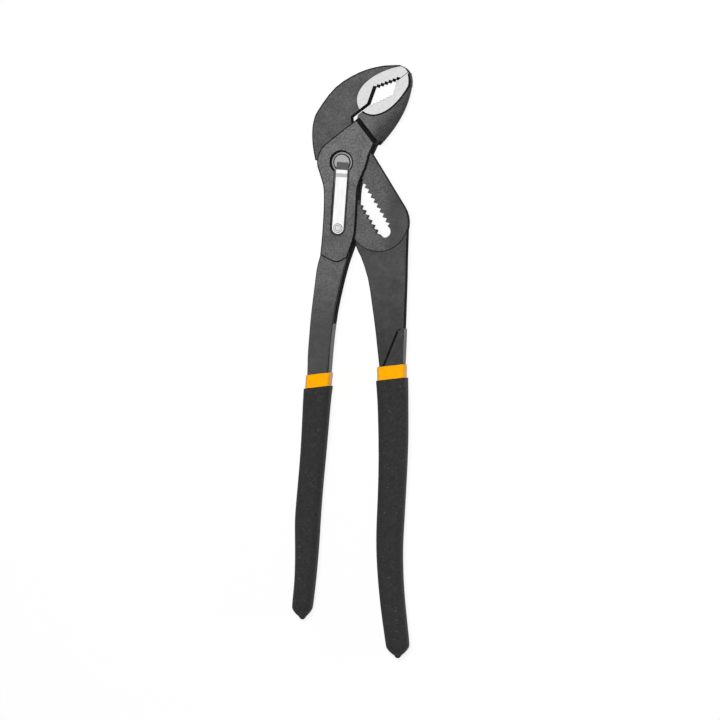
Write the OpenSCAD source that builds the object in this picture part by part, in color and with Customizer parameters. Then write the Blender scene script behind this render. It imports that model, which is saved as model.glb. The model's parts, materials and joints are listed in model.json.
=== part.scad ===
// Water pump pliers: a forged box-joint arm, a forged rack arm that slides and turns in it,
// a sprung push pin that locks the rack, and dipped two-layer grips.
// They lie on their back: X to the right, Y towards the jaws, Z up from the rear face.
// The origin is on the pivot axis, in the plane of the rear face. Sizes are in millimetres.

/* [Box joint] */
// Thickness of each cheek
cheek_t = 3.8; // [3.2:0.1:4.6]
// Radius of the cheeks round the pivot
cheek_r = 12.5; // [12:0.1:13]
// Pivot to the jaw end of the cheeks, along the mouth line
cheek_reach = 19.2; // [18.8:0.1:20]
// Pivot to the round handle end of the cheeks
box_len = 50.6; // [44:0.2:60]
// Clearance on each side of the rack plate
slide_gap = 0.15; // [0.05:0.05:0.3]
// Clearance between the rack arm's edge and the end wall of the slot at full travel
wall_gap = 1.3; // [0.6:0.1:2]
// Pivot to the end of the slot in the left shank
slot_len = 76.6; // [72:0.2:84]
// Depth of the slot in the left shank
shank_slot = 1.7; // [1.2:0.1:2.2]

/* [Jaws] */
// Angle of the mouth line from the X axis
mouth_angle = 37.5; // [35:0.5:40]
// Pivot to the jaw tips, along the mouth line
jaw_reach = 54.6; // [46:0.2:66]
// Thickness of the jaws
jaw_t = 9.5; // [8.8:0.1:10.5]
// Radius on the long edges of the upper jaw
upper_edge_r = 1.3; // [0.6:0.1:1.6]
// Radius on the long edges of the lower jaw
lower_edge_r = 3.6; // [2:0.1:3.6]
// Gap between the cheeks' rim and the upper jaw
rim_gap = 0.35; // [0.2:0.05:0.6]
// Gap between the closed jaw tips
tip_gap = 0.2; // [0.1:0.05:0.5]
// Rise of the ground pads above the jaw faces
pad_rise = 0.65; // [0.3:0.05:1]
// Gap between the closed jaws at their heels
heel_gap = 1.7; // [1:0.1:2.2]
// Half length of the ground pads, along the mouth line
pad_half_len = 17; // [14:0.2:17.6]
// Half width of the ground pads
pad_half_w = 9.1; // [8:0.1:9.4]
// Teeth in each jaw
jaw_teeth = 7; // [5:1:9]
// Depth of the upper jaw's teeth
upper_tooth = 1; // [0.5:0.1:1.3]
// Depth of the lower jaw's teeth
lower_tooth = 0.7; // [0.4:0.1:1]

/* [Rack] */
// Thickness of the rack plate
plate_t = 7.1; // [5.8:0.1:8.6]
// Half width of the rack plate, and the radius of its round end
plate_r = 15; // [14.5:0.1:15.2]
// Angle of the toothed slot from the Y axis
rack_angle = 31.5; // [30:0.5:33]
// Distance from tooth to tooth
tooth_pitch = 2.9; // [2.4:0.1:3]
// Settings past the closed one
rack_steps = 12; // [8:1:12]
// Radius of the hole at the slot's end
slot_end_r = 3.1; // [2.6:0.1:3.4]

/* [Pivot and lock] */
// Diameter of the toothed part of the lock pin
pin_d = 8.4; // [7:0.1:10.2]
// Width of the lock pin's shank across its flats
pin_flats = 5.4; // [4.4:0.1:6]
// Reduction in radius from the toothed part to the shank
pin_step = 0.7; // [0.4:0.1:1]
// Depth of the lock pin's teeth in the rack plate
lock_depth = 3; // [2:0.1:4]
// Free height of the pivot bush in the front cheek
bush_len = 1.5; // [1.2:0.1:1.8]
// Wall of the pivot bush
bush_wall = 1.05; // [0.8:0.05:1.4]
// Width of the bush's flange
bush_flange_w = 1; // [0.6:0.1:1.4]
// Thickness of the bush's flange
bush_flange_t = 0.6; // [0.4:0.1:0.8]
// Running clearance of round fits, on the radius
running_gap = 0.05; // [0.03:0.01:0.08]
// Clearance between the pin's teeth and the rack's teeth
tooth_gap = 0.12; // [0.08:0.01:0.2]

/* [Spring] */
// Width of the leaf spring
spring_w = 5.9; // [4.8:0.1:7.2]
// Thickness of the leaf spring
spring_t = 0.8; // [0.6:0.05:0.9]
// Pivot to rivet
spring_len = 33.4; // [28:0.2:38]
// Angle of the leaf spring from the Y axis
spring_tilt = 4.2; // [2:0.2:6]
// Distance by which the leaf spring lies to the right of the pivot
spring_shift = 0.6; // [0:0.1:1]
// Gap between the leaf spring and the side of its recess
spring_side_gap = 0.95; // [0.5:0.05:1.2]
// Diameter of the rivet's shank
rivet_d = 3; // [2.4:0.1:3.4]
// Diameter of the rivet's head
rivet_head_d = 4.8; // [4:0.1:5.2]
// Diameter of the shallow dimple in the rivet's head
rivet_dimple_d = 2.8; // [2:0.1:3.2]

/* [Handles] */
// Pivot to the start of the left grip
left_shank_len = 107.2; // [90:0.2:130]
// Pivot to the start of the right grip
right_shank_len = 103.1; // [98:0.2:124]
// Length of the left grip with its bare band and drip
left_grip_len = 124.8; // [104:0.2:150]
// Length of the right grip with its bare band and drip
right_grip_len = 148.1; // [124:0.2:178]
// Thickness of the left shank where it leaves the box
left_shank_t = 13.4; // [12.4:0.1:14.6]
// Thickness of the thin part of the right shank
blade_t = 6.4; // [5.6:0.1:7]
// Radius on the long edges of the shanks
shank_edge_r = 0.9; // [0.5:0.1:1.5]
// Radius on the long edges of the cores inside the grips
core_edge_r = 3.2; // [2:0.1:3.4]
// Width of the undercoat that shows above the top coat
band_len = 6.8; // [4:0.2:10]
// Thickness of the undercoat
undercoat_t = 0.6; // [0.4:0.05:0.9]
// Thickness of the top coat
topcoat_t = 0.7; // [0.5:0.05:1]
// Length of the drip at the grips' tips
drip_len = 1.5; // [0.8:0.1:2.5]

/* [Hidden] */

// Colours of the finishes
black_steel = [0.30, 0.30, 0.31];
bright_steel = [0.92, 0.92, 0.92];
undercoat_orange = [0.99, 0.68, 0.05];
grip_black = [0.16, 0.16, 0.16];

// Thin film between pieces that are bonded or pressed together
bond = 0.02;
// Overlaps that make cuts and joined solids run into each other
over = 1;
lap = 0.1;

// Heights through the head
cavity_t = plate_t + 2 * slide_gap;
head_t = 2 * cheek_t + cavity_t;
mid = head_t / 2;
cavity_top = cheek_t + cavity_t;
plate_top = mid + plate_t / 2;

// Lock pin, bush and bores
pin_shank_d = pin_d - 2 * pin_step;
bush_bore_d = pin_d + 2 * running_gap;
bush_d = bush_bore_d + 2 * bush_wall;
bush_flange_d = bush_d + 2 * bush_flange_w;
bush_top = cavity_top + bush_len;
pin_head_lap = 0.25;
pin_head_d = bush_bore_d + 2 * pin_head_lap;
pin_head_t = 0.6;
pin_face = bush_top + pin_head_t;
pin_rear = 0.1;
lock_bottom = plate_top - lock_depth;
bore_chamfer = 0.65;
dish_depth = 1.4;
dish_w = 2.95;

// Spring in its recess
recess_floor = head_t - 1.2;
spring_hump = 0.35;
spring_touch = 0.03;
rivet_head_t = head_t - recess_floor - spring_t;

// Rack
rack_play = 0.2;
slot_tip = pin_flats / 2 + rack_play;
slot_root = pin_d / 2 + rack_play;
tooth_phase = 0.16;
tooth_rise = 0.38;
rack_travel = rack_steps * tooth_pitch;
plate_end_v = rack_travel + 0.7;
slot_end_v = rack_travel + 6.3;

// Handles
end_len = 3.8;
coat_grow = undercoat_t + topcoat_t + 2 * bond;
core_t = head_t - 2 * coat_grow;
band_edge_r = 1.6;
dip_slope = 0.12;
drip_r = 1.3;
left_tip_y = -(left_shank_len + left_grip_len);
right_tip_y = -(right_shank_len + right_grip_len);

// Plan geometry
function turn2(p, a) = [p.x * cos(a) - p.y * sin(a), p.x * sin(a) + p.y * cos(a)];
function at(along, perp) = turn2([along, perp], mouth_angle);
function on_rack(lat, v) = turn2([lat, -v], rack_angle);
function polar(r, a) = [r * cos(a), r * sin(a)];
function mix(a, b, t) = a + (b - a) * t;
function flip(list) = [for (i = [len(list) - 1 : -1 : 0]) list[i]];
function arc(r, from, to, steps) = [for (i = [0 : steps]) polar(r, mix(from, to, i / steps))];

// Smooth curve through points of any dimension, with steps pieces from point to point
function spline(p0, p1, p2, p3, t) =
    (2 * p1 + (p2 - p0) * t + (2 * p0 - 5 * p1 + 4 * p2 - p3) * t * t
     + (3 * p1 - p0 - 3 * p2 + p3) * t * t * t) / 2;
function curve(points, steps) =
    let (last = len(points) - 1)
    [for (i = [0 : last - 1], j = [0 : steps - 1])
        spline(points[max(i - 1, 0)], points[i], points[i + 1], points[min(i + 2, last)], j / steps),
     points[last]];

// Points of a row of teeth from p to q: crests on the line, roots moved by depth
function tooth_row(p, q, count, depth) =
    [for (i = [0 : 2 * count]) mix(p, q, i / (2 * count)) + (i % 2 == 1 ? depth : [0, 0])];

// Rounded rectangle that stands on the plan line through centre along direction u
corner_steps = 4;
function ring(centre, u, half_w, half_t, r) =
    [for (q = [0 : 3], i = [0 : corner_steps])
        let (a = 90 * (q + i / corner_steps),
             side = (q == 0 || q == 3 ? 1 : -1) * (half_w - r) + r * cos(a),
             up = (q < 2 ? 1 : -1) * (half_t - r) + r * sin(a))
        [centre.x + u.x * side, centre.y + u.y * side, mid + up]];

// Solid skinned over a row of rings with equal counts of points
module loft(rings) {
    n = len(rings[0]);
    last = len(rings) - 1;
    polyhedron(
        points = [for (row = rings) each row],
        faces = concat(
            [[for (i = [0 : n - 1]) i]],
            [for (k = [0 : last - 1], i = [0 : n - 1], half = [0, 1])
                let (a = k * n + i, b = k * n + (i + 1) % n)
                half == 0 ? [a, a + n, b] : [b, a + n, b + n]],
            [[for (i = [n - 1 : -1 : 0]) last * n + i]]));
}

// Flat piece through the middle of the head
module slab(points, t) {
    translate([0, 0, mid])
        linear_extrude(t, center = true)
            polygon(points);
}

// Jaws, drawn along the mouth line for a reach of drawn_reach and stretched past the neck
drawn_reach = 54.6;
neck = 21;
mouth_line = 15.4;
upper_line = mouth_line + tip_gap / 2;
lower_line = mouth_line - tip_gap / 2;
heel = cheek_reach - 0.2;
heel_relief = 1.2;
upper_heel = mouth_line + 0.25 * heel_gap;
lower_heel = mouth_line - 0.75 * heel_gap;
function reach(a) = a <= neck ? a : neck + (a - neck) * (jaw_reach - neck) / (drawn_reach - neck);
function jaw_point(p) = at(reach(p.x), p.y);
rim_r = cheek_r + rim_gap;

// Each station of a jaw: the back and the inner side, as along and across the mouth line.
// The upper jaw runs from tip to heel and the lower one from heel to tip.
upper_stations = [
    [54.6, 18.2, 54.4, 11], [53.3, 20.9, 53, 11], [50.4, 23.2, 50, 11], [44.8, 26.9, 44, 11],
    [34.5, 31, 34, 11], [20.5, 32.5, 20, 11], [6.2, 28.8, 6, 11], [1, 25.8, 1, 11],
    [-2.4, 22.4, -1, 10], [-5.3, 18.6, -3, 9], [-8, 14.2, -5, 8], [-10.3, 9.6, -7, 6]];
lower_stations = [
    [19, -4.6, 19, 20], [24, -3.8, 24, 20], [30.6, -2.2, 30.6, 20], [37, 0.1, 37, 20],
    [42, 2.5, 42, 20], [46.4, 5.3, 46.4, 20], [50.3, 8.4, 50.3, 20], [52.9, 11.2, 52.9, 20],
    [54.8, 14.7, 54.8, 20]];

// Mouth side of each jaw from heel to tip
mouth_end = drawn_reach + 5;
upper_mouth = concat(
    [[15.7, rim_r], [17.7, upper_heel], [28.6, upper_heel]],
    tooth_row([35.3, 20.1], [49.6, upper_line], jaw_teeth, [0, upper_tooth]),
    [[mouth_end, upper_line]]);
lower_mouth = concat(
    [[heel, cheek_r], [21, lower_heel]],
    tooth_row([29.1, lower_heel], [41.9, 11.2], jaw_teeth, [0, -lower_tooth]),
    [[47.1, lower_line], [mouth_end, lower_line]]);
pad_centre = [40.4, mouth_line];
pad_taper = 0.26;

// Plan of a jaw as pairs of points, on its back and on its inner side
function jaw_plan(stations) =
    [for (s = curve(stations, 3)) [jaw_point([s[0], s[1]]), jaw_point([s[2], s[3]])]];

module jaw_body(plan, edge_r) {
    loft([for (p = plan)
        let (across = p[1] - p[0])
        ring((p[0] + p[1]) / 2, across / norm(across), norm(across) / 2, jaw_t / 2, edge_r)]);
}

// Egg-shaped ground pad that covers both jaws round the mouth
module pad_blank(t) {
    slab([for (a = [0 : 7.5 : 359])
        jaw_point(pad_centre
                  + [pad_half_len * cos(a), pad_half_w * (1 - pad_taper * cos(a)) * sin(a)])], t);
}

// The pad ends a little inside the back of the jaw
module jaw(stations, edge_r, mouth_cut) {
    pad_inset = 0.5;
    pad_t = jaw_t + 2 * pad_rise;
    plan = jaw_plan(stations);
    backs = [for (p = plan) p[0] + pad_inset * (p[1] - p[0]) / norm(p[1] - p[0])];
    difference() {
        jaw_body(plan, edge_r);
        slab(mouth_cut, head_t);
    }
    difference() {
        intersection() {
            pad_blank(pad_t);
            slab(concat(backs, flip([for (p = plan) p[1]])), pad_t + over);
        }
        slab(mouth_cut, head_t);
    }
}

// Space that the upper jaw leaves for the cheeks and the mouth
upper_cut = concat(
    arc(rim_r, 200, mouth_angle + 90, 16),
    [for (p = upper_mouth) jaw_point(p)],
    [at(jaw_reach + 5, -20), at(-20, -20)]);

// Space above the lower jaw
lower_cut = concat(
    [for (p = lower_mouth) jaw_point(p)],
    [at(jaw_reach + 5, 40), at(0, 40), at(0, cheek_r)]);

// Outline of the rack arm's blade: share of its run, left edge, right edge
blade_top_y = on_rack(0, plate_end_v).y;
blade_stations = [
    [0, 6, 33.3], [0.16, 6.65, 32.9], [0.24, 9.3, 32.7], [0.39, 12.9, 32.5],
    [0.57, 15, 32.05], [0.78, 17, 31.55], [1, 18.7, 31], [1.06, 19.1, 30.9]];
blade_edges = [for (s = curve(blade_stations, 2))
    [mix(blade_top_y, -right_shank_len, s[0]), s[1], s[2]]];

// Box joint: edges from the jaw end down to the handle end, as X and share of the box's length
box_right = curve([[14.05, 0.07], [12.7, -0.035], [10.4, -0.142], [8.4, -0.25], [7.7, -0.44],
                   [7.3, -0.6], [6.3, -0.76], [2.9, -0.955]], 3);
box_left = curve([[-10.9, -0.925], [-9.9, -0.73], [-9.1, -0.47], [-9.1, -0.27],
                  [-10.4, -0.16], [-12.3, -0.045]], 3);
box_outline = concat(
    [at(0, cheek_r), at(cheek_reach, cheek_r), at(cheek_reach, -2.7)],
    [for (p = box_right) [p.x, p.y * box_len]],
    curve([[2.9, -0.955 * box_len], [-3, -box_len], [-10.9, -0.925 * box_len]], 5),
    [for (p = box_left) [p.x, p.y * box_len]],
    arc(cheek_r, 187, mouth_angle + 90, 12));

// Handles: share of the run, centre, width of the steel core
left_shank = [[0, -2.85, 14.7], [0.08, -4.4, 14.5], [0.16, -5.8, 14.3], [0.3, -7.5, 13.2],
              [0.5, -9.65, 12.15], [0.7, -11.1, 11.6], [0.85, -11.9, 11.4]];
left_core = [[0, -12.4, 11.1], [band_len / left_grip_len, -13, 10.75], [0.12, -13.8, 10.7],
             [0.3, -15.3, 9.85], [0.47, -17.2, 9.6], [0.59, -18.4, 9.7], [0.71, -18.8, 8.6],
             [0.84, -19.7, 7.5]];
left_end = [-21.2, 7.2];
right_shank = [[0.73, 24.1, 15.5], [0.86, 24.5, 14.1]];
right_core = [[0, 24.85, 12.7], [band_len / right_grip_len, 24.9, 12.4], [0.126, 25.4, 12.2],
              [0.28, 25.6, 11.6], [0.425, 24.9, 10.9], [0.533, 24.1, 10.7], [0.634, 23.65, 10.1],
              [0.75, 24.4, 9.5], [0.857, 26, 9.1]];
right_end = [27.8, 8.6];

// Pointed end of a handle: share of the end's length, share of the section
end_shape = [[0.25, 0.93], [0.55, 0.68], [0.8, 0.4], [1, 0.1]];
// Shares of the grip's length up to which the core keeps the small edges of the shank
square_share = 0.1;

// Row of sections down a handle: Y, centre, width, thickness, edge radius, slope of the section,
// place in the pointed end
function handle(top_y, shank_y, tip_y, top_t, shank, core, end) =
    let (end_y = tip_y + drip_len + coat_grow + end_len,
         run = concat(
             [for (s = shank) [mix(top_y, shank_y, s[0]), s[1], s[2], mix(top_t, core_t, s[0]),
                               shank_edge_r, dip_slope * s[0]]],
             [for (s = core) [mix(shank_y, tip_y, s[0]), s[1], s[2], core_t,
                              s[0] < square_share ? band_edge_r : core_edge_r,
                              dip_slope * (1 - s[0])]],
             [[end_y, end[0], end[1], core_t, core_edge_r, 0]]))
    concat([for (s = curve(run, 2)) concat(s, [[0, 1]])],
           [for (e = end_shape) [end_y, end[0], end[1], core_t, core_edge_r, 0, e]]);

left_top_y = -(box_len - 6.6);
left_handle = handle(left_top_y, -left_shank_len, left_tip_y, left_shank_t,
                     left_shank, left_core, left_end);
right_handle = handle(blade_top_y, -right_shank_len, right_tip_y, core_t,
                      right_shank, right_core, right_end);

// Slot through the box: its end wall follows the rack arm's left edge at full travel, then the
// side of the left shank. The heel of the lower jaw is relieved where the plate's edge swings past
travel = turn2([0, rack_travel], rack_angle);
shank_side = [for (s = left_handle) [s[0], s[1] + s[2] / 2 - shank_slot]];
slot_wall = [for (e = blade_edges)
    let (p = [e[1], e[0]] + travel - [wall_gap, 0])
    if (e[0] < blade_top_y - 16 && p.y > -slot_len) [min(p.x, lookup(p.y, shank_side)), p.y]];
cavity = concat(
    [[-60, slot_wall[0].y]],
    slot_wall,
    [[lookup(-slot_len, shank_side), -slot_len], [30, -slot_len], at(heel + heel_relief, -40),
     at(heel + heel_relief, -4.5), at(heel, 0), at(heel, 40), at(-60, 40)]);

// Rings of a handle from top_y down, grown outwards by grow
function handle_rings(sections, top_y, grow) =
    [for (s = sections)
        if (s[0] <= top_y + 0.001)
            let (down = s[6][0] * (end_len + grow), f = s[6][1])
            ring([s[1], s[0] - down], [1, s[5]],
                 s[2] / 2 * f + grow, s[3] / 2 * f + grow, s[4] * f + grow)];

// Drip that hangs from the tip of a top coat
function drip_rings(end, tip_y) =
    [for (d = [[1, 0.9], [0.6, 0.75], [0.15, 0.4], [0, 0.15]])
        ring([end[0], tip_y + drip_len * d[0] - (d[0] == 1 ? bond : 0)], [1, 0],
             drip_r * d[1], drip_r * d[1], drip_r * d[1] * 0.9)];

// One coat of a dipped grip: a cup round the handle, from inner growth to outer growth
module coat(sections, top_y, inner, outer, drip) {
    loft(concat(flip(handle_rings(sections, top_y, inner)),
                handle_rings(sections, top_y, outer),
                drip));
}

// Toothed sides of the rack slot as lat and v; the other side is the same row turned half round
function rack_row(from, to, ease) =
    [for (k = [from : to], j = [0, 1])
        [(j == 0 ? slot_tip : slot_root) - ease,
         tooth_pitch * (k - tooth_phase + (j == 0 ? 0 : 1 - tooth_rise))]];
function rack_slot(from, to, ease) =
    concat(rack_row(from, to, ease), [for (p = rack_row(-to - 1, -from, ease)) -p]);

// Frame of the leaf spring: X across, Y from the pivot towards the rivet
module along_spring() {
    translate([spring_shift, 0, 0])
        rotate([0, 0, 180 - spring_tilt]) children();
}

module cylinder_between(z0, z1, d) {
    translate([0, 0, z0]) cylinder(h = z1 - z0, d = d);
}

module cone_between(z0, z1, d0, d1) {
    translate([0, 0, z0]) cylinder(h = z1 - z0, d1 = d0, d2 = d1);
}

// Shoulder that runs from the cheeks' faces down to the jaw's faces
module shoulder() {
    slope = 1.7;
    profile = [[heel, -mid], [cheek_reach, -mid], [cheek_reach + slope, -jaw_t / 2],
               [cheek_reach + slope, jaw_t / 2], [cheek_reach, mid], [heel, mid]];
    translate([0, 0, mid])
        rotate([0, 0, mouth_angle])
            translate([0, cheek_r, 0])
                rotate([90, 0, 0])
                    linear_extrude(cheek_r + 2.7)
                        polygon(profile);
}

// Bores, thumb dish and spring recess of the box
module box_cuts() {
    recess_w = spring_w + 2 * spring_side_gap;
    rivet_hole_d = rivet_d + 2 * bond;
    bush_hole_d = bush_d + 2 * running_gap;
    counterbore_d = bush_flange_d + 2 * running_gap;
    rear_bore_d = pin_shank_d + 2 * running_gap;
    cylinder_between(mid, head_t + over, bush_hole_d);
    cylinder_between(mid, cavity_top + bush_flange_t + running_gap, counterbore_d);
    cone_between(head_t - bore_chamfer, head_t, bush_hole_d, bush_hole_d + 2 * bore_chamfer);
    cylinder_between(-over, mid, rear_bore_d);
    cone_between(0, dish_depth, rear_bore_d + 2 * dish_w, rear_bore_d + 1);
    along_spring() {
        translate([-recess_w / 2, 0, recess_floor]) cube([recess_w, spring_len, head_t]);
        translate([0, spring_len, 0]) cylinder_between(recess_floor, head_t + over, recess_w);
        translate([0, spring_len, 0]) cylinder_between(mid, head_t, rivet_hole_d);
    }
}

module box_arm() {
    color(black_steel)
        difference() {
            union() {
                slab(box_outline, head_t);
                loft(handle_rings(left_handle, left_top_y, 0));
                shoulder();
                jaw(lower_stations, lower_edge_r, lower_cut);
            }
            slab(cavity, cavity_t);
            box_cuts();
        }
}

// Outline of the rack plate: its top lies inside the upper jaw
plate_outline = concat(
    [on_rack(-11, -7), on_rack(-plate_r, 0.85 * plate_end_v)],
    [for (a = [180 : 10 : 360]) on_rack(0, plate_end_v) + polar(plate_r, a + rack_angle)],
    [on_rack(plate_r, -14), at(15, 18), at(4, 20), at(-3, 15)]);

// The handle is thick below a step that runs slantwise across the shank and turns to its right side.
// Above it only the blade is left, down to just above the dip line of the right grip
step_low = [20.5, -right_shank_len];
step_turn = step_low + [7, 17.1];
step_top = step_turn + [2.1, 1.8];
step_lean = 1.3;
function above_dip(x) = [x, -right_shank_len + 0.3 + dip_slope * (x - right_core[0][1])];
thin_side = [above_dip(0), above_dip(step_low.x), step_turn, step_top, [50, step_top.y], [50, 0], [0, 0]];

// Space over the slanted wall of the step, which leans back from the blade to the handle's faces
module step_slope() {
    run = step_turn - step_low;
    half_blade = blade_t / 2;
    for (face = [1, -1])
        translate([step_low.x, step_low.y, mid])
            rotate([0, 0, atan2(run.y, run.x)])
                rotate([90, 0, 90])
                    linear_extrude(norm(run))
                        polygon([[lap, face * half_blade], [-step_lean, face * head_t / 2],
                                 [lap, face * head_t / 2]]);
}

module rack_arm() {
    color(black_steel) {
        difference() {
            union() {
                slab(plate_outline, plate_t);
                slab(concat([for (e = blade_edges) [e[1], e[0]]],
                            flip([for (e = blade_edges) [e[2], e[0]]])), blade_t);
            }
            slab([for (p = rack_slot(-2, rack_steps + 1, 0)) on_rack(p.x, p.y)], head_t);
            translate(on_rack(0, slot_end_v)) cylinder_between(0, head_t, 2 * slot_end_r);
        }
        difference() {
            loft(handle_rings(right_handle, 0, 0));
            slab(thin_side, head_t);
            step_slope();
        }
        jaw(upper_stations, upper_edge_r, upper_cut);
    }
}

module pivot_bush() {
    color(bright_steel)
        difference() {
            union() {
                cylinder_between(cavity_top, bush_top, bush_d);
                cylinder_between(cavity_top, cavity_top + bush_flange_t, bush_flange_d);
            }
            cylinder_between(0, head_t, bush_bore_d);
        }
}

module lock_pin() {
    color(bright_steel) {
        intersection() {
            cylinder_between(lock_bottom, bush_top, pin_d);
            slab([for (p = rack_slot(-2, 2, tooth_gap)) on_rack(p.x, p.y)], head_t);
        }
        cone_between(bush_top, pin_face, pin_head_d, pin_head_d - 2 * pin_head_t);
        intersection() {
            cylinder_between(pin_rear, lock_bottom, pin_shank_d);
            rotate([0, 0, rack_angle])
                translate([0, 0, mid]) cube([pin_flats, 2 * pin_d, head_t], center = true);
        }
    }
}

module leaf_spring() {
    // Side view of the strip's lower face: distance from the pivot, height
    lower = [[0, pin_face + spring_touch],
             [3.9, recess_floor + spring_hump], [5.7, recess_floor + spring_hump],
             [7.6, recess_floor], [spring_len, recess_floor]];
    upper = [for (p = lower) p + [0, spring_t]];
    color(bright_steel)
        along_spring()
            difference() {
                union() {
                    translate([-spring_w / 2, 0, 0])
                        rotate([90, 0, 90]) linear_extrude(spring_w) polygon(concat(lower, flip(upper)));
                    translate([0, spring_len, 0])
                        cylinder_between(recess_floor, recess_floor + spring_t, spring_w);
                }
                translate([0, spring_len, 0]) cylinder_between(mid, head_t, rivet_d + 2 * bond);
            }
}

module spring_rivet() {
    head_chamfer = 0.2;
    dimple_depth = 0.15;
    strip_top = recess_floor + spring_t;
    color(bright_steel)
        along_spring()
            translate([0, spring_len, 0])
                difference() {
                    union() {
                        cylinder_between(cavity_top, strip_top, rivet_d);
                        cylinder_between(strip_top, strip_top + rivet_head_t - head_chamfer, rivet_head_d);
                        cone_between(head_t - head_chamfer, head_t, rivet_head_d,
                                     rivet_head_d - 2 * head_chamfer);
                    }
                    cylinder_between(head_t - dimple_depth, head_t + over, rivet_dimple_d);
                }
}

module left_undercoat() {
    color(undercoat_orange)
        coat(left_handle, -left_shank_len, bond, bond + undercoat_t, []);
}

module left_grip() {
    color(grip_black)
        coat(left_handle, -left_shank_len - band_len, 2 * bond + undercoat_t, coat_grow,
             drip_rings(left_end, left_tip_y));
}

module right_undercoat() {
    color(undercoat_orange)
        coat(right_handle, -right_shank_len, bond, bond + undercoat_t, []);
}

module right_grip() {
    color(grip_black)
        coat(right_handle, -right_shank_len - band_len, 2 * bond + undercoat_t, coat_grow,
             drip_rings(right_end, right_tip_y));
}

box_arm();
rack_arm();
pivot_bush();
lock_pin();
leaf_spring();
spring_rivet();
left_undercoat();
left_grip();
right_undercoat();
right_grip();
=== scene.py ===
"""Looks of a pair of water pump pliers that lie on their back on a pale floor.

The two forged arms are rebuilt from the frame with broken edges, and their faces are sorted into forged,
blasted, ground and drawn ones and walls and edges with painted shade. The small bright pieces get broken
edges too, with painted shade on them, and the dipped coats are rebuilt as smooth skins. Sizes are written in
millimetres and turned to metres by MM.
"""
import json
import math
from collections import namedtuple

import bmesh
import bpy
from mathutils import Matrix, Vector

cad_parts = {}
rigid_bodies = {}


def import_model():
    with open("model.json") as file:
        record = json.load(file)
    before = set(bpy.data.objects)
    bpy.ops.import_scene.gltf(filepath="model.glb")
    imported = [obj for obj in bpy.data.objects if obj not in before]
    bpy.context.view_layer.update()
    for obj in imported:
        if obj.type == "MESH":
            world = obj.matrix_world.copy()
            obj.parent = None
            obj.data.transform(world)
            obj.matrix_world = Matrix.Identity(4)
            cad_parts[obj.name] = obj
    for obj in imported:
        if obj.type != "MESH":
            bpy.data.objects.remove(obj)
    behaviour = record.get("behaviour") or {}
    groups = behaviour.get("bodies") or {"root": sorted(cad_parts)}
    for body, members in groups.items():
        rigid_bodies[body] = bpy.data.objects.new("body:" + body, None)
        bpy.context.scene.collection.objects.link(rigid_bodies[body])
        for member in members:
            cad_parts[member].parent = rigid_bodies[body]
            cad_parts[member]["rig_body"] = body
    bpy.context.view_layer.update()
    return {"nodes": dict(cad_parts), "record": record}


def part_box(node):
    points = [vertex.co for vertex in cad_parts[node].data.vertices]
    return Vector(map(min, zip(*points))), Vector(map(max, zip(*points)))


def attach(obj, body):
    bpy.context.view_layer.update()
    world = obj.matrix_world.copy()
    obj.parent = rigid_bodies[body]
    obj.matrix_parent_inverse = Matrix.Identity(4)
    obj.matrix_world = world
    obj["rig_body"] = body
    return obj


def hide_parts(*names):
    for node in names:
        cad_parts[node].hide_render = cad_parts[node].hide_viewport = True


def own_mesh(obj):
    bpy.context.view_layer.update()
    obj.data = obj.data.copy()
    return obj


MM = 0.001

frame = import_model()
nodes = frame["nodes"]
scene = bpy.context.scene


# Camera: the photograph's square view, from the front and a little from the right
VIEW_TARGET = Vector((9.37, -100.1, 13.5)) * MM
VIEW_TURN = math.radians(9)
VIEW_DISTANCE = 2000 * MM
VIEW_WIDTH = 364.3 * MM
VIEW_UP = Vector((0, 1, 0))
SENSOR_WIDTH = 36


def add_object(name, data):
    made = bpy.data.objects.new(name, data)
    scene.collection.objects.link(made)
    return made


def aim(obj, place, target):
    """Stands obj at place with its -Z axis on target."""
    away = (place - target).normalized()
    right = VIEW_UP.cross(away).normalized()
    turn = Matrix((right, away.cross(right), away)).transposed()
    obj.matrix_world = Matrix.Translation(place) @ turn.to_4x4()


def photograph_camera():
    lens = bpy.data.cameras.new("camera")
    lens.sensor_width = SENSOR_WIDTH
    lens.lens = SENSOR_WIDTH * VIEW_DISTANCE / VIEW_WIDTH
    camera = add_object("camera", lens)
    away = Vector((math.sin(VIEW_TURN), 0, math.cos(VIEW_TURN)))
    aim(camera, VIEW_TARGET + VIEW_DISTANCE * away, VIEW_TARGET)
    scene.camera = camera


# Shader tools
BLACK, WHITE = "#000000", "#ffffff"


def linear(hex_colour):
    """Linear RGBA of an sRGB hex colour."""
    def channel(value):
        return value / 12.92 if value <= 0.04045 else ((value + 0.055) / 1.055) ** 2.4
    values = [int(hex_colour[i:i + 2], 16) / 255 for i in (1, 3, 5)]
    return (*map(channel, values), 1)


def node(tree, kind, inputs=None, stops=(), **settings):
    """Adds a node with its settings, and fills its inputs with values or links. The stops of a colour ramp
    are pairs of a place and a colour: first the two that the ramp starts with, then any more."""
    made = tree.nodes.new(kind)
    for name, value in settings.items():
        setattr(made, name, value)
    for key, value in (inputs or {}).items():
        if isinstance(value, bpy.types.NodeSocket):
            tree.links.new(value, made.inputs[key])
        else:
            made.inputs[key].default_value = value
    for i, (place, colour) in enumerate(stops):
        elements = made.color_ramp.elements
        stop = elements.new(place) if i > 1 else elements[i]
        stop.position = place
        stop.color = linear(colour)
    return made


def blank_material(name):
    material = bpy.data.materials.new(name)
    material.use_nodes = True
    material.node_tree.nodes.clear()
    return material, material.node_tree


def finish_material(tree, shader):
    node(tree, "ShaderNodeOutputMaterial", {"Surface": shader.outputs[0]})


def levelness(tree):
    """1 where the surface lies level and 0 where it stands upright."""
    normal = node(tree, "ShaderNodeTexCoord").outputs["Normal"]
    upward = node(tree, "ShaderNodeSeparateXYZ", {"Vector": normal}).outputs["Z"]
    return node(tree, "ShaderNodeMath", {0: upward}, operation="ABSOLUTE").outputs[0]


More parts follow.
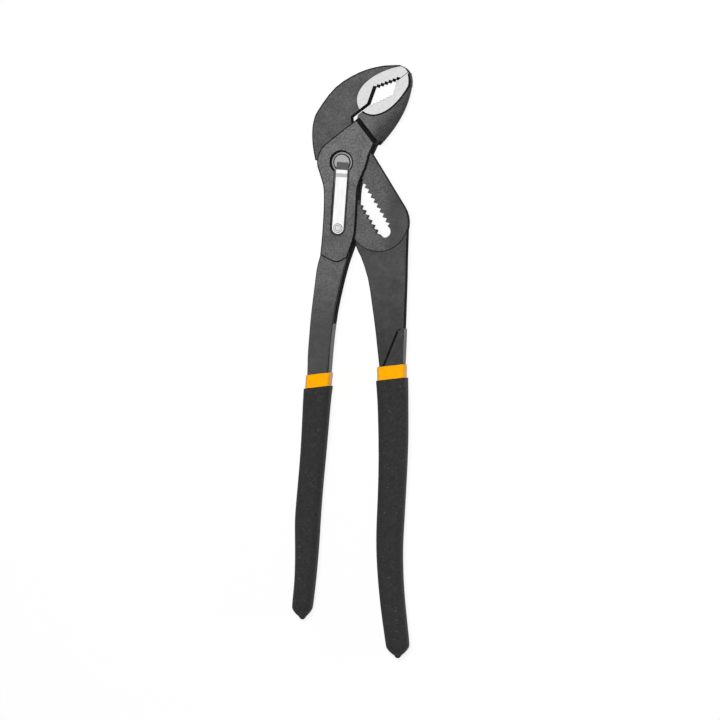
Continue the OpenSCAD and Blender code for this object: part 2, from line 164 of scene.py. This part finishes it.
def mottle(tree, size_mm, detail, roughness=0.5, stretch=(1, 1, 1)):
    """Uneven pattern of a real size, drawn out along the axes whose stretch is less than 1."""
    place = node(tree, "ShaderNodeTexCoord").outputs["Object"]
    lay = node(tree, "ShaderNodeMapping", {"Vector": place, "Scale": stretch}).outputs["Vector"]
    return node(tree, "ShaderNodeTexNoise", {
        "Vector": lay, "Scale": 1 / (size_mm * MM), "Detail": detail, "Roughness": roughness,
    }).outputs["Fac"]


# Values of a mottle between which a colour goes from dark to light, softly or with more contrast
SOFT_LOW, SOFT_HIGH = 0.3, 0.7
BLOTCH_LOW, BLOTCH_HIGH = 0.4, 0.6

# The phosphate coat's grit is really finer: it is drawn as coarse as it needs to show
GRIT_MM = 0.7
GRIT_DEPTH = 0.05 * MM
SMUDGE_MM = 7
SMUDGE_SHARE = 0.5
DULL_ROUGHNESS = (0.72, 0.86)
SATIN_ROUGHNESS = (0.45, 0.55)
DULL_GLOSS = 0.1
SATIN_GLOSS = 0.3
# Near-black colour of the painted shade in the roundings
SCALE = "#161617"

# Levelness over which the painted shade grows in a rounding, and over which it ends on a satin handle's
# upright sides
ROUNDING_SHADE_RAMP = 0.15
SIDE_FROM, SIDE_TO = 0.1, 0.3

# A change of colour along a direction, between two places in millimetres
Fade = namedtuple("Fade", "direction start_mm end_mm dark light")


def blackened_steel(name, dark, light, blotch_mm, rounding_shade_from=None, satin=False, fade=None, gloss=DULL_GLOSS):
    """Steel with a black phosphate coat: a dull dark grey, mottled, with smudges of oil and a fine dry
    grit. Painted shade darkens the roundings and draws a dark line round each forging: it grows where the
    surface is less level than the level given for it. Drawn handles are satin, and on them the painted
    shade ends at the upright sides."""
    material, tree = blank_material(name)
    blotch = mottle(tree, blotch_mm, detail=4, roughness=0.7)
    colour = node(tree, "ShaderNodeValToRGB", {"Fac": blotch},
                  stops=[(BLOTCH_LOW, dark), (BLOTCH_HIGH, light)]).outputs["Color"]
    if fade:
        place = node(tree, "ShaderNodeTexCoord").outputs["Object"]
        along = node(tree, "ShaderNodeVectorMath", {0: place, 1: fade.direction},
                     operation="DOT_PRODUCT").outputs["Value"]
        share = node(tree, "ShaderNodeMapRange", {
            "Value": along, "From Min": fade.start_mm * MM, "From Max": fade.end_mm * MM,
        }, interpolation_type="SMOOTHSTEP").outputs["Result"]
        far = node(tree, "ShaderNodeValToRGB", {"Fac": blotch},
                   stops=[(BLOTCH_LOW, fade.dark), (BLOTCH_HIGH, fade.light)]).outputs["Color"]
        colour = node(tree, "ShaderNodeMixRGB", {
            "Fac": share, "Color1": colour, "Color2": far,
        }).outputs["Color"]
    colour = node(tree, "ShaderNodeMixRGB", {
        "Fac": SMUDGE_SHARE, "Color1": colour, "Color2": mottle(tree, SMUDGE_MM, detail=3, roughness=0.6),
    }, blend_type="SOFT_LIGHT").outputs["Color"]
    # Painted shade: the roundings are darkened to a near-black, and on satin handles it ends at the upright
    # sides
    if rounding_shade_from:
        rounding_shade_share = node(tree, "ShaderNodeValToRGB", {"Fac": levelness(tree)}, stops=[
            (SIDE_FROM, BLACK if satin else WHITE), (rounding_shade_from, BLACK),
            (SIDE_TO, WHITE), (rounding_shade_from - ROUNDING_SHADE_RAMP, WHITE),
        ]).outputs["Color"]
        colour = node(tree, "ShaderNodeMixRGB", {
            "Fac": rounding_shade_share, "Color1": colour, "Color2": linear(SCALE),
        }).outputs["Color"]
    smoothest, roughest = SATIN_ROUGHNESS if satin else DULL_ROUGHNESS
    rough = node(tree, "ShaderNodeMapRange", {
        "Value": blotch, "From Min": SOFT_LOW, "From Max": SOFT_HIGH,
        "To Min": smoothest, "To Max": roughest,
    }).outputs["Result"]
    bump = node(tree, "ShaderNodeBump", {
        "Height": mottle(tree, GRIT_MM, detail=2), "Strength": 0.5, "Distance": GRIT_DEPTH,
    }).outputs["Normal"]
    finish_material(tree, node(tree, "ShaderNodeBsdfPrincipled", {
        "Base Color": colour,
        "Roughness": rough,
        "Specular IOR Level": SATIN_GLOSS if satin else gloss,
        "Normal": bump,
    }))
    return material


MARK_DEPTH = 0.02 * MM
MARK_ROUGHNESS = 0.06


def bright_steel(name, dark, light, roughness, grain_mm, stretch=(1, 1, 1)):
    """Bare steel with fine parallel tool marks: bright, with a soft streaked gloss."""
    material, tree = blank_material(name)
    marks = mottle(tree, grain_mm, detail=3, stretch=stretch)
    colour = node(tree, "ShaderNodeValToRGB", {"Fac": marks},
                  stops=[(SOFT_LOW, dark), (SOFT_HIGH, light)]).outputs["Color"]
    rough = node(tree, "ShaderNodeMapRange", {
        "Value": marks, "From Min": SOFT_LOW, "From Max": SOFT_HIGH,
        "To Min": roughness - MARK_ROUGHNESS, "To Max": roughness + MARK_ROUGHNESS,
    }).outputs["Result"]
    bump = node(tree, "ShaderNodeBump", {
        "Height": marks, "Strength": 0.15, "Distance": MARK_DEPTH,
    }).outputs["Normal"]
    finish_material(tree, node(tree, "ShaderNodeBsdfPrincipled", {
        "Base Color": colour,
        "Metallic": 1.0,
        "Roughness": rough,
        "Normal": bump,
    }))
    return material


CLOUD_MM = 1.6
SPECK_FROM, SPECK_FULL = 0.7, 0.78
PLASTISOL_IOR = 1.52
COAT_ROUGHNESS = 0.22


def dipped_plastic(name, dark, light, roughness, pimple_mm, pimple_depth_mm, gloss, coat, speck=None):
    """Plastisol skin from a dip tank: an even soft colour, finely pimpled or smooth. The highest pimples
    take the colour of a speck. Pimples are drawn coarser than they are, to show."""
    material, tree = blank_material(name)
    cloud = mottle(tree, CLOUD_MM, detail=4, roughness=0.7)
    pimples = mottle(tree, pimple_mm, detail=1.5)
    colour = node(tree, "ShaderNodeValToRGB", {"Fac": cloud},
                  stops=[(SOFT_LOW, dark), (SOFT_HIGH, light)]).outputs["Color"]
    if speck:
        speck_share = node(tree, "ShaderNodeValToRGB", {"Fac": pimples},
                      stops=[(SPECK_FROM, BLACK), (SPECK_FULL, WHITE)]).outputs["Color"]
        colour = node(tree, "ShaderNodeMixRGB", {
            "Fac": speck_share, "Color1": colour, "Color2": linear(speck),
        }).outputs["Color"]
    bump = node(tree, "ShaderNodeBump", {
        "Height": pimples, "Strength": 0.5, "Distance": pimple_depth_mm * MM,
    }).outputs["Normal"]
    finish_material(tree, node(tree, "ShaderNodeBsdfPrincipled", {
        "Base Color": colour,
        "Roughness": roughness,
        "IOR": PLASTISOL_IOR,
        "Specular IOR Level": gloss,
        "Coat Weight": coat,
        "Coat Roughness": COAT_ROUGHNESS,
        "Normal": bump,
    }))
    return material


TO_HANDLES = (0, -1, 0)
TO_RIGHT = (1, 0, 0)
TO_JAW_BACK = (0.795, -0.606, 0)

# Forged jaws: mid grey with a dry grain, the upper with painted shade in its roundings, the lower darkened
# towards its back by painted shade
UPPER_JAW = blackened_steel("forged_black_steel_upper_jaw", "#505051", "#656566", blotch_mm=0.8,
                            rounding_shade_from=0.98)
LOWER_JAW = blackened_steel("forged_black_steel_lower_jaw", "#575758", "#757575", blotch_mm=0.8,
                            fade=Fade(TO_JAW_BACK, -2, 9, "#343435", "#484849"))
# Blasted flats: the lightest of the black faces, with a visible speckle that dies away to one side; the cheek
# is darker towards the handles as painted shade, the plate darker towards its right
CHEEK = blackened_steel("blasted_black_steel_cheek", "#5c5c5d", "#7c7c7d", blotch_mm=0.8,
                        fade=Fade(TO_HANDLES, -5, 48, "#535354", "#6d6d6e"))
PLATE = blackened_steel("blasted_black_steel_plate", "#4e4e4f", "#6c6c6d", blotch_mm=0.8,
                        fade=Fade(TO_RIGHT, 20, 26, "#4b4b4c", "#535354"))
# Drawn handles: smoother, with a satin sheen, darker towards the grips, and with painted shade in their
# roundings
LEFT_SHANK = blackened_steel("drawn_black_steel_left", "#4a4a4b", "#666667", blotch_mm=0.8,
                             rounding_shade_from=0.95, satin=True,
                             fade=Fade(TO_HANDLES, 52, 88, "#3b3b3c", "#454546"))
RIGHT_SHANK = blackened_steel("drawn_black_steel_right", "#3d3d3e", "#484849", blotch_mm=2.4,
                              rounding_shade_from=0.7, satin=True,
                              fade=Fade(TO_HANDLES, 50, 100, "#2a2a2b", "#353536"))
# Walls and broken edges of the forgings: painted shade, nearly black and without gloss
PAINTED_SHADE_STEEL = blackened_steel("black_steel_painted_shade", "#171718", "#222223", blotch_mm=1.6, gloss=0.02)
# Jaw pads and rivet: ground and pale, with marks from side to side
GROUND = bright_steel("ground_steel", "#d4d4d4", "#e4e4e4", roughness=0.4, grain_mm=0.5, stretch=(0.25, 1, 1))
# Pin and bush: turned and a middling grey; the bright pieces' broken edges take a dark grey painted shade
TURNED = bright_steel("turned_steel", "#a2a2a2", "#bababa", roughness=0.4, grain_mm=0.4)
DULLED = bright_steel("dulled_turned_steel", "#a4a4a4", "#bababa", roughness=0.45, grain_mm=0.4)
EDGE_SHADE_STEEL = bright_steel("steel_edge_painted_shade", "#3c3c3c", "#545454", roughness=0.4, grain_mm=0.4)
# Leaf spring: nickelled and almost white, with streaks along the strip; its tip carries a painted dark
# reflection and its bend a painted grey one
ALONG_STRIP = (1, 0.1, 1)
NICKELLED = bright_steel("nickelled_spring_steel", "#f2f2f2", "#ffffff", roughness=0.26, grain_mm=0.6,
                         stretch=ALONG_STRIP)
PAINTED_DARK_TIP = bright_steel("spring_tip_painted_dark_reflection", "#585858", "#666666", roughness=0.4, grain_mm=0.6,
                        stretch=ALONG_STRIP)
PAINTED_GREY_BEND = bright_steel("spring_bend_painted_grey_reflection", "#b4b4b4", "#c4c4c4", roughness=0.3, grain_mm=0.6,
                    stretch=ALONG_STRIP)
# Dipped coats: a smooth bright orange, and a matt black with lighter specks on its highest pimples
ORANGE_DIP = dipped_plastic("orange_plastisol", "#ffa500", "#ffb800", roughness=0.4, pimple_mm=1.2,
                            pimple_depth_mm=0.02, gloss=0.1, coat=0.08)
BLACK_DIP = dipped_plastic("black_textured_plastisol", "#262626", "#353535", roughness=0.8, pimple_mm=0.8,
                           pimple_depth_mm=0.12, gloss=0.2, coat=0.0, speck="#6c6c6c")


# Tools for pieces
MERGE_DISTANCE = 0.002 * MM
SLIVER = 0.02 * MM
FLAT_ANGLE = math.radians(0.5)
EDGE_ANGLE = math.radians(35)


def welded_shape(node_name):
    """CAD node's loose triangles as one closed shape."""
    shape = bmesh.new()
    shape.from_mesh(nodes[node_name].data)
    bmesh.ops.remove_doubles(shape, verts=shape.verts, dist=MERGE_DISTANCE)
    return shape


def machined_shape(node_name):
    """Welded copy of a CAD node without slivers and with its coplanar triangles joined."""
    shape = welded_shape(node_name)
    bmesh.ops.dissolve_degenerate(shape, dist=SLIVER, edges=shape.edges)
    bmesh.ops.dissolve_limit(shape, angle_limit=FLAT_ANGLE, verts=shape.verts, edges=shape.edges)
    return shape


def new_piece(name, shape, *materials):
    mesh = bpy.data.meshes.new(name)
    shape.to_mesh(mesh)
    shape.free()
    for material in materials:
        mesh.materials.append(material)
    mesh.shade_smooth()
    return add_object(name, mesh)


def bake_modifiers(piece):
    """Turns the piece's modifiers into its mesh."""
    done = bpy.data.meshes.new_from_object(piece.evaluated_get(bpy.context.evaluated_depsgraph_get()))
    done.name = piece.name
    piece.modifiers.clear()
    piece.data = done


def machined_piece(name, shape, *materials):
    """Piece without the doubled points and the faces without area that edge breaks leave where they
    run out. Flat faces are shaded flat and rounded ones round."""
    bmesh.ops.remove_doubles(shape, verts=shape.verts, dist=MERGE_DISTANCE)
    bmesh.ops.dissolve_degenerate(shape, dist=MERGE_DISTANCE, edges=shape.edges)
    piece = new_piece(name, shape, *materials)
    piece.data.set_sharp_from_angle(angle=EDGE_ANGLE)
    even = piece.modifiers.new("even faces", "WEIGHTED_NORMAL")
    even.keep_sharp = True
    bake_modifiers(piece)
    return piece


def sharp_edges(shape):
    return [edge for edge in shape.edges if edge.calc_face_angle(0) > EDGE_ANGLE]


def break_edges(shape, edges, width, finish):
    """Rounds edges a little and gives the rounds a finish."""
    made = bmesh.ops.bevel(shape, geom=edges, offset=width, offset_type="OFFSET", segments=2, profile=0.5,
                           affect="EDGES", clamp_overlap=False)
    for face in made["faces"]:
        face.material_index = finish


def stand_for(piece, node_name):
    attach(piece, nodes[node_name]["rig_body"])
    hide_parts(node_name)


def joint_named(name):
    return next(joint for joint in frame["record"]["behaviour"]["joints"] if joint["name"] == name)


# Forged arms. Places of the finishes in an arm's list of materials
JAW, FACE, PAD, SHANK, WALL = range(5)

# Heights of the arms' level faces above and below the middle of the head
HEAD_LOW, HEAD_HIGH = (corner.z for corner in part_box("box_arm"))
HEAD_MID = (HEAD_LOW + HEAD_HIGH) / 2
CHEEK_LEVEL = (HEAD_HIGH - HEAD_LOW) / 2
PLATE_LEVEL = 3.55 * MM
BLADE_LEVEL = 3.2 * MM
PAD_LEVEL = 5.4 * MM
HANDLE_LEVEL = 6.16 * MM
LEVEL_GAP = 0.05 * MM

# Where the head ends and the shank begins on each arm, and past which the handles' upright sides get no
# painted shade
BOX_ARM_SHANK_Y = -44 * MM
RACK_ARM_SHANK_Y = -30 * MM
UNSHADED_SIDES_Y = -84 * MM

# Share of a normal on one axis: a level face has more of it upright than FACE_TILT and a wall less than
# WALL_TILT, and an upright handle side left without painted shade has more of it sideways than SIDE_TILT
FACE_TILT = math.cos(math.radians(5))
WALL_TILT = math.cos(math.radians(42))
SIDE_TILT = math.cos(math.radians(15))

# Clearance round the bush and the spring, the least height of a mouth's wall, and the toothed slot's reach
FITTING_MARGIN = 1.2 * MM
MOUTH_WALL = 4 * MM
RACK_LINE = Vector(joint_named("jaw_adjust")["axis"])
RACK_REACH = 7 * MM
RACK_LENGTH = 44 * MM

# A height with the finish there, the width of its edge breaks, and another width with a test for the
# edges that take it
FinishLevel = namedtuple("FinishLevel", "height finish edge_break other_break takes_other")


def lies_at(face, level):
    """Whether a face is level and lies at that height from the middle of the head."""
    height = abs(face.calc_center_median().z - HEAD_MID)
    return abs(face.normal.z) > FACE_TILT and abs(height - level) < LEVEL_GAP


def in_mouth(edge):
    """Whether an edge lies over a wall that runs through the jaw."""
    wall = min(edge.link_faces, key=lambda face: abs(face.normal.z))
    heights = [corner.co.z for corner in wall.verts]
    return max(heights) - min(heights) > MOUTH_WALL


def by_fittings(edge):
    """Whether an edge lies round the bush or the spring, in plan."""
    middle = (edge.verts[0].co + edge.verts[1].co) / 2
    for low, high in map(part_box, ("pivot_bush", "leaf_spring")):
        if all(low[i] - FITTING_MARGIN < middle[i] < high[i] + FITTING_MARGIN for i in (0, 1)):
            return True
    return False


def by_rack(face):
    """Whether a face lies at the toothed slot, in plan."""
    place = face.calc_center_median()
    across = place.x * RACK_LINE.y - place.y * RACK_LINE.x
    along = place.x * RACK_LINE.x + place.y * RACK_LINE.y
    return abs(across) < RACK_REACH and along > -RACK_LENGTH


def is_wall(face):
    """Whether a steep face ends at a sharp or a broken edge, as forged roundings don't. The upright sides far
    down the handles aren't counted, and so get no painted shade."""
    if face.calc_center_median().y < UNSHADED_SIDES_Y and abs(face.normal.x) > SIDE_TILT:
        return False
    return abs(face.normal.z) < WALL_TILT and any(
        edge.calc_face_angle(0) > EDGE_ANGLE
        or any(near.material_index == WALL for near in edge.link_faces)
        for edge in face.edges)


def forged_arm(node_name, finishes, finish_levels, shank_y):
    """Arm with the edges of its level faces broken. Walls and broken edges get the painted shade finish,
    apart from the slot's walls, and the shank is what lies past shank_y."""
    shape = machined_shape(node_name)
    for level in finish_levels:
        rim = [edge for edge in sharp_edges(shape)
               if any(lies_at(face, level.height) for face in edge.link_faces)]
        other = [edge for edge in rim if level.takes_other(edge)]
        break_edges(shape, [edge for edge in rim if edge not in other], level.edge_break, WALL)
        break_edges(shape, [edge for edge in other if edge.is_valid], level.other_break, WALL)
    walls = [face for face in shape.faces if is_wall(face)]
    for face in shape.faces:
        if face.material_index == JAW and face.calc_center_median().y < shank_y:
            face.material_index = SHANK
        for level in finish_levels:
            if lies_at(face, level.height):
                face.material_index = level.finish
    for face in walls:
        face.material_index = FACE if node_name == "rack_arm" and by_rack(face) else WALL
    piece = machined_piece(node_name + "_forging", shape, *finishes)
    stand_for(piece, node_name)


# Bright pieces. Places of the finishes in a bright piece's list of materials
BARE, SHADED_EDGE, TIP, BEND = range(4)

BEND_TILT = math.sin(math.radians(4))


def bright_piece(node_name, edge_break, material):
    """Small bare piece with painted shade on its broken edges."""
    shape = machined_shape(node_name)
    break_edges(shape, sharp_edges(shape), edge_break, SHADED_EDGE)
    piece = machined_piece(node_name + "_bright", shape, material, EDGE_SHADE_STEEL)
    stand_for(piece, node_name)


def lift_with_pin(piece):
    """Gives the spring a mesh of its own. The middle of its rivet at the top of the head is worked
    out, but nothing uses it."""
    low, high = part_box("spring_rivet")
    rivet = (low + high) / 2
    rivet.z = HEAD_HIGH
    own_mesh(piece)


def leaf_spring(edge_break):
    """Bright strip with a tip that slopes down to the pin and a bend behind it. The tip's upper faces are
    painted dark and the bend's grey as painted reflections, and the broken edges carry painted shade.
    """
    shape = machined_shape("leaf_spring")
    break_edges(shape, sharp_edges(shape), edge_break, SHADED_EDGE)
    for face in shape.faces:
        if face.normal.z > WALL_TILT and face.material_index == BARE:
            if face.normal.y > BEND_TILT:
                face.material_index = TIP
            elif face.normal.y < -BEND_TILT:
                face.material_index = BEND
    piece = machined_piece("leaf_spring_bright", shape, NICKELLED, EDGE_SHADE_STEEL, PAINTED_DARK_TIP, PAINTED_GREY_BEND)
    stand_for(piece, "leaf_spring")
    lift_with_pin(piece)


# Dipped coats
DIP_SIZES = {"Smoothing steps": 2, "Rim angle": math.radians(50), "Rim crispness": 0.8, "Swell": 0.12 * MM,
             "Ripple length": 14 * MM, "Ripple height": 0.05 * MM}
DRIP_HEIGHT = 1.49 * MM
DRIP_SPREAD = 1.5
GRIP_SEED = 10


def dipped_skin_tree():
    """Skin that a dip leaves on a core: smooth, softly uneven, with a crisp rim."""
    tree = bpy.data.node_groups.new("dipped_skin", "GeometryNodeTree")
    tree.is_modifier = True
    for name, kind in (("Coat", "Geometry"), ("Smoothing steps", "Int"), ("Rim angle", "Float"),
                       ("Rim crispness", "Float"), ("Swell", "Float"), ("Ripple length", "Float"),
                       ("Ripple height", "Float"), ("Seed", "Float"), ("Skin", "Material")):
        tree.interface.new_socket(name, in_out="INPUT", socket_type="NodeSocket" + kind)
    tree.interface.new_socket("Skin", in_out="OUTPUT", socket_type="NodeSocketGeometry")
    given = node(tree, "NodeGroupInput").outputs
    fold = node(tree, "GeometryNodeInputMeshEdgeAngle").outputs["Unsigned Angle"]
    at_rim = node(tree, "FunctionNodeCompare", {0: fold, 1: given["Rim angle"]},
                  data_type="FLOAT", operation="GREATER_THAN").outputs["Result"]
    crease = node(tree, "ShaderNodeMath", {0: at_rim, 1: given["Rim crispness"]},
                  operation="MULTIPLY").outputs[0]
    smooth = node(tree, "GeometryNodeSubdivisionSurface", {
        "Mesh": given["Coat"], "Level": given["Smoothing steps"], "Edge Crease": crease,
    }).outputs["Mesh"]
    scale = node(tree, "ShaderNodeMath", {0: 1.0, 1: given["Ripple length"]}, operation="DIVIDE").outputs[0]
    ripple = node(tree, "ShaderNodeTexNoise", {
        "W": given["Seed"], "Scale": scale, "Detail": 1.0,
    }, noise_dimensions="4D").outputs["Fac"]
    swing = node(tree, "ShaderNodeMapRange", {
        "Value": ripple, "To Min": -1.0, "To Max": 1.0,
    }).outputs["Result"]
    rise = node(tree, "ShaderNodeMath", {
        0: swing, 1: given["Ripple height"], 2: given["Swell"],
    }, operation="MULTIPLY_ADD").outputs[0]
    normal = node(tree, "GeometryNodeInputNormal").outputs["Normal"]
    offset = node(tree, "ShaderNodeVectorMath", {0: normal, "Scale": rise},
                  operation="SCALE").outputs["Vector"]
    uneven = node(tree, "GeometryNodeSetPosition", {"Geometry": smooth, "Offset": offset}).outputs["Geometry"]
    whole = node(tree, "GeometryNodeRealizeInstances", {"Geometry": uneven}).outputs["Geometry"]
    skinned = node(tree, "GeometryNodeSetMaterial", {
        "Geometry": whole, "Material": given["Skin"],
    }).outputs["Geometry"]
    node(tree, "NodeGroupOutput", {"Skin": skinned})
    return tree


DIPPED_SKIN = dipped_skin_tree()


def round_drip(shape, tip_y):
    """Widens the last drop at the end of a coat to a round point."""
    drop = [corner for corner in shape.verts if corner.co.y < tip_y + DRIP_HEIGHT]
    middle = sum((corner.co for corner in drop), Vector()) / len(drop)
    for corner in drop:
        corner.co.x = middle.x + DRIP_SPREAD * (corner.co.x - middle.x)
        corner.co.z = middle.z + DRIP_SPREAD * (corner.co.z - middle.z)


def dipped_coat(node_name, material, seed, has_drip=False):
    """Coat as a smooth skin through the CAD coat's rings, held inside the CAD coat's box."""
    low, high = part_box(node_name)
    shape = welded_shape(node_name)
    if has_drip:
        round_drip(shape, low.y)
    bmesh.ops.join_triangles(shape, faces=shape.faces, angle_face_threshold=math.pi,
                             angle_shape_threshold=math.pi)
    piece = new_piece(node_name + "_skin", shape, material)
    dip = piece.modifiers.new("dipped skin", "NODES")
    dip.node_group = DIPPED_SKIN
    values = {**DIP_SIZES, "Seed": float(seed), "Skin": material}
    for socket in DIPPED_SKIN.interface.items_tree:
        if socket.in_out == "INPUT" and socket.name in values:
            dip[socket.identifier] = values[socket.name]
    bake_modifiers(piece)
    for corner in piece.data.vertices:
        corner.co = [min(max(at, least), most) for at, least, most in zip(corner.co, low, high)]
    piece.data.shade_smooth()
    stand_for(piece, node_name)


# The pieces
forged_arm("box_arm", (LOWER_JAW, CHEEK, GROUND, LEFT_SHANK, PAINTED_SHADE_STEEL),
           [FinishLevel(CHEEK_LEVEL, FACE, 0.6 * MM, 0.12 * MM, by_fittings),
            FinishLevel(PAD_LEVEL, PAD, 0.8 * MM, 0.12 * MM, in_mouth)],
           BOX_ARM_SHANK_Y)
forged_arm("rack_arm", (UPPER_JAW, PLATE, GROUND, RIGHT_SHANK, PAINTED_SHADE_STEEL),
           [FinishLevel(PLATE_LEVEL, FACE, 0.25 * MM, 0.1 * MM, in_mouth),
            FinishLevel(PAD_LEVEL, PAD, 0.15 * MM, 0.12 * MM, in_mouth),
            FinishLevel(BLADE_LEVEL, SHANK, 0.15 * MM, 0.4 * MM, in_mouth),
            FinishLevel(HANDLE_LEVEL, SHANK, 0.6 * MM, 0.6 * MM, in_mouth)],
           RACK_ARM_SHANK_Y)
for seed, side in enumerate(("left", "right")):
    dipped_coat(side + "_undercoat", ORANGE_DIP, seed)
    dipped_coat(side + "_grip", BLACK_DIP, seed + GRIP_SEED, has_drip=True)
bright_piece("pivot_bush", 0.08 * MM, DULLED)
bright_piece("lock_pin", 0.08 * MM, TURNED)
leaf_spring(0.06 * MM)
bright_piece("spring_rivet", 0.1 * MM, GROUND)


# Floor, world and lights
FLOOR_SIZE = 6000 * MM
FLOOR_LEVEL = -0.1 * MM
FLOOR_COLOUR = "#707070"
FLOOR_GLOW = 0.85
FLOOR_BOUNCE = 0.4
WORLD_FILL = 0.1


def seen_ray(tree):
    """1 for rays from the camera and for those that mirror or pass through, and 0 for diffuse light."""
    path = node(tree, "ShaderNodeLightPath")
    mirrored = node(tree, "ShaderNodeMath", {
        0: path.outputs["Is Glossy Ray"], 1: path.outputs["Is Transmission Ray"],
    }, operation="MAXIMUM").outputs[0]
    return node(tree, "ShaderNodeMath", {
        0: path.outputs["Is Camera Ray"], 1: mirrored,
    }, operation="MAXIMUM").outputs[0]


def pale_floor():
    """Floor that is white where it is seen, keeps the object's shadow, and lights the object softly."""
    mesh = bpy.data.meshes.new("floor")
    half = FLOOR_SIZE / 2
    mesh.from_pydata([(-half, -half, FLOOR_LEVEL), (half, -half, FLOOR_LEVEL),
                      (half, half, FLOOR_LEVEL), (-half, half, FLOOR_LEVEL)], [], [(0, 1, 2, 3)])
    floor = add_object("floor", mesh)
    material, tree = blank_material("pale_floor")
    dull = node(tree, "ShaderNodeBsdfDiffuse", {"Color": linear(FLOOR_COLOUR)}).outputs[0]
    glow = node(tree, "ShaderNodeEmission", {"Color": linear(WHITE), "Strength": FLOOR_GLOW}).outputs[0]
    bounce = node(tree, "ShaderNodeEmission", {"Color": linear(WHITE), "Strength": FLOOR_BOUNCE}).outputs[0]
    white = node(tree, "ShaderNodeAddShader", {0: dull, 1: glow}).outputs[0]
    lit = node(tree, "ShaderNodeAddShader", {0: dull, 1: bounce}).outputs[0]
    finish_material(tree, node(tree, "ShaderNodeMixShader", {0: seen_ray(tree), 1: lit, 2: white}))
    mesh.materials.append(material)


def studio_world():
    """World that is white where it is seen and fills the shadows a little."""
    world = bpy.data.worlds.new("studio")
    world.use_nodes = True
    tree = world.node_tree
    tree.nodes.clear()
    fill = node(tree, "ShaderNodeBackground", {"Color": linear(WHITE), "Strength": WORLD_FILL}).outputs[0]
    white = node(tree, "ShaderNodeBackground", {"Color": linear(WHITE), "Strength": 1.0}).outputs[0]
    mixed = node(tree, "ShaderNodeMixShader", {0: seen_ray(tree), 1: fill, 2: white}).outputs[0]
    node(tree, "ShaderNodeOutputWorld", {"Surface": mixed})
    scene.world = world


def soft_light(name, place_mm, target_mm, size_mm, watts, mirrored=False):
    """Square lamp that lights the object, or one that only glossy surfaces mirror."""
    lamp = bpy.data.lights.new(name, "AREA")
    lamp.size = size_mm * MM
    lamp.energy = watts
    stand = add_object(name, lamp)
    stand.visible_glossy = mirrored
    stand.visible_diffuse = not mirrored
    aim(stand, Vector(place_mm) * MM, Vector(target_mm) * MM)


photograph_camera()
pale_floor()
studio_world()
soft_light("key", (40, 20, 1200), (5, -40, 0), size_mm=400, watts=12.5)
soft_light("side", (1000, -100, 300), (8, -100, 7), size_mm=200, watts=2)
soft_light("gleam", (-900, -130, 600), (0, -130, 8), size_mm=150, watts=2.5, mirrored=True)

scene.view_settings.view_transform = "Standard"
